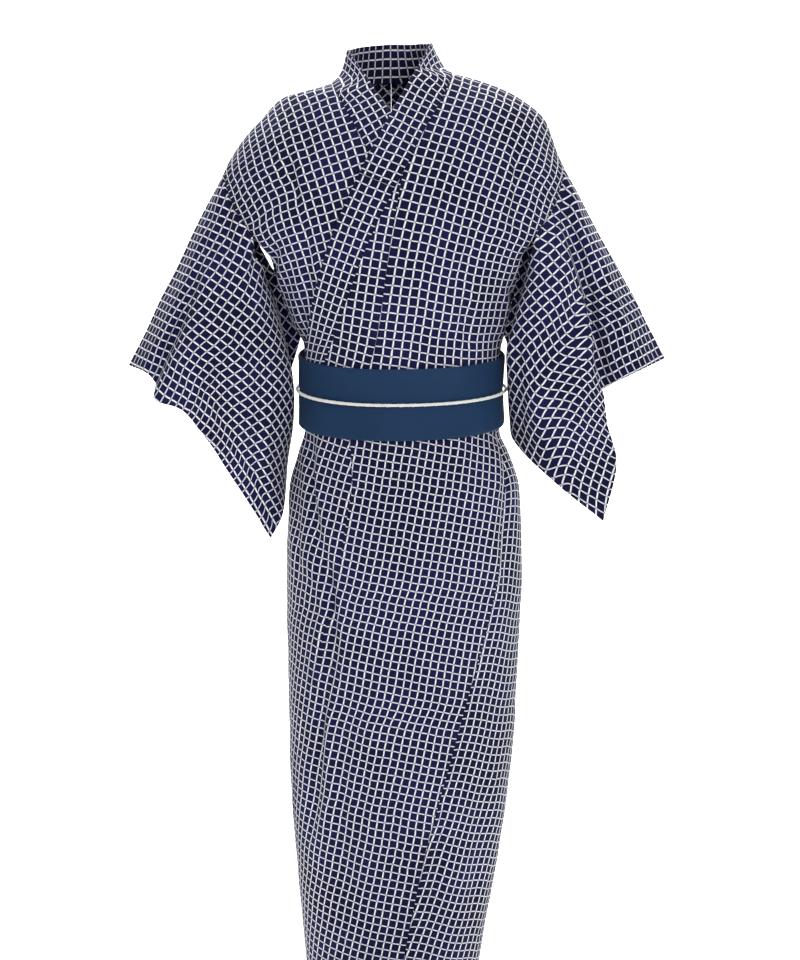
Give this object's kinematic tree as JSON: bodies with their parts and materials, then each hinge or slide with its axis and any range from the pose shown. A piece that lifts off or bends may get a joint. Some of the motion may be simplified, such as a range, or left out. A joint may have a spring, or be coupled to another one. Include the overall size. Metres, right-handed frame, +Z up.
{
  "type": "yukata robe",
  "caption": "Woman's cotton yukata worn closed: wrapped ankle-length body, deep open sleeves, folded collar, wound sash and sash cord.",
  "frame": {"origin": "base of the wearer's neck, in the middle of the neck opening between the shoulders that carry the robe", "axes": "+Z up, the front faces -Y, +X towards the wearer's left"},
  "size_m": [0.771, 0.2693, 1.3621],
  "materials": {
    "navy_cotton": "matt plain-woven cotton with a thin off-white lattice",
    "sash_cloth": "smooth matt woven cloth",
    "braided_cord": "off-white round braid"
  },
  "bodies": {
    "root": {"collar": "navy_cotton", "left_okumi": "navy_cotton", "left_panel": "navy_cotton", "left_sleeve": "navy_cotton", "obi": "sash_cloth", "obi_cord": "braided_cord", "obi_fold": "sash_cloth", "over_collar": "navy_cotton", "right_okumi": "navy_cotton", "right_panel": "navy_cotton", "right_sleeve": "navy_cotton"}
  },
  "joints": []
}
